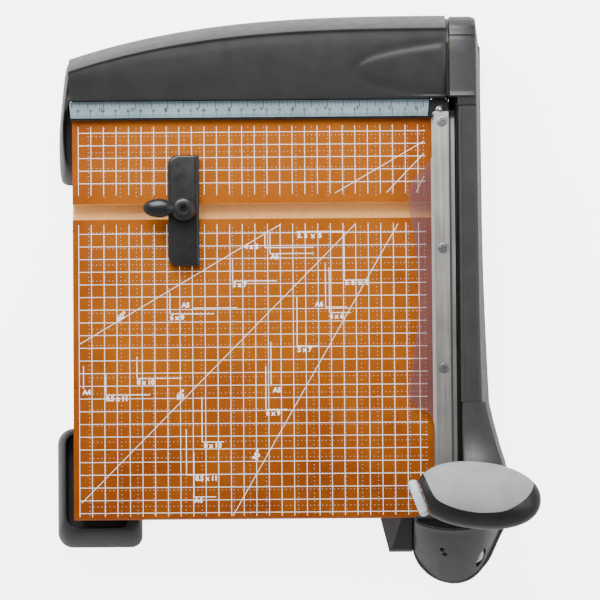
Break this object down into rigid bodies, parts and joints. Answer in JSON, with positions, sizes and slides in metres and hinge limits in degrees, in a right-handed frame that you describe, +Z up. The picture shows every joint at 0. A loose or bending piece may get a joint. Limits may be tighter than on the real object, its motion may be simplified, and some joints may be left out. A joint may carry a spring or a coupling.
{
  "type": "guillotine paper cutter",
  "caption": "Lever guillotine for paper: wooden grid board on moulded feet, swinging blade arm with oval grip, clear finger guard, ruler fence, sliding paper guide and laser pod.",
  "frame": {"origin": "on the ground under the middle of the cutter's overall box, blade arm closed", "axes": "+X to the right (blade side), +Y to the rear (hinge and ruler), +Z up"},
  "size_m": [0.3821, 0.4548, 0.1083],
  "materials": {
    "board": "satin laminate, printed white grid",
    "steel": "ground",
    "zinc": "zinc plated",
    "housing": "fine satin moulded",
    "black": "semi gloss",
    "ruler": "satin, printed marks",
    "guard": "clear smoked acrylic",
    "pad": "soft touch",
    "pale": "satin",
    "rubber": "matte",
    "cell": "gloss jacket",
    "brass": "turned"
  },
  "bodies": {
    "frame": {"battery_1": "cell", "battery_2": "cell", "bed_knife": "steel", "fence_bar": "black", "finger_guard": "guard", "front_left_foot": "housing", "front_right_bracket": "housing", "guard_bar": "steel", "guard_screw_1": "zinc", "guard_screw_2": "zinc", "guard_screw_3": "zinc", "guard_screw_4": "zinc", "guard_spacer_1": "zinc", "guard_spacer_2": "zinc", "guard_spacer_3": "zinc", "guard_spacer_4": "zinc", "hinge_block": "black", "laser_module": "brass", "laser_wheel_pin": "zinc", "pivot_bolt": "zinc", "pivot_bracket": "steel", "pivot_bush": "brass", "pivot_nut": "zinc", "pivot_plate": "black", "pivot_spring": "steel", "pivot_washer": "zinc", "pod_base": "housing", "pod_shell": "housing", "rear_crossbar": "housing", "rear_head_cover": "housing", "rear_left_foot": "housing", "rear_right_foot": "housing", "right_base_rail": "housing", "rubber_foot_front_left": "rubber", "rubber_foot_front_right": "rubber", "rubber_foot_rear_left": "rubber", "rubber_foot_rear_right": "rubber", "ruler_strip": "ruler", "stop_bumper": "rubber", "stop_post": "housing", "work_board": "board"},
    "blade_arm": {"arm_cover": "housing", "arm_head_cover": "housing", "arm_spine": "zinc", "blade": "steel", "blade_screw_1": "zinc", "blade_screw_2": "zinc", "blade_screw_3": "zinc", "handle_stem": "housing", "grip_body": "black", "grip_pad": "pad"},
    "lever": {"release_lever": "pale"},
    "guide": {"guide_rail": "black", "guide_nut": "zinc", "guide_stud": "zinc"},
    "knob": {"clamp_knob": "black"},
    "wheel": {"laser_wheel": "pale"}
  },
  "joints": [
    {"name": "arm_swing", "type": "hinge", "parent": "frame", "child": "blade_arm", "pos_m": [0.1291, 0.1985, 0.04], "axis": [-1, 0, 0], "range_deg": [0, 60]},
    {"name": "lever_squeeze", "type": "hinge", "parent": "blade_arm", "child": "lever", "pos_m": [0.09622, -0.16493, 0.08015], "axis": [-0.3398, 0.9088, -0.2419], "range_deg": [0, 12], "stiffness_Nm_per_rad": 0.3, "springref_deg": -17.19},
    {"name": "guide_slide", "type": "slide", "parent": "frame", "child": "guide", "axis": [1, 0, 0], "range_m": [-0.06, 0.16]},
    {"name": "knob_turn", "type": "hinge", "parent": "guide", "child": "knob", "pos_m": [-0.0876, 0.0696, 0.0521], "axis": [0, 0, 1], "range_deg": [0, 90]},
    {"name": "laser_wheel_turn", "type": "hinge", "parent": "frame", "child": "wheel", "pos_m": [0.1387, -0.1993, 0.0194], "axis": [0.6789, 0.4289, -0.5959], "range_deg": [-170, 170]}
  ]
}
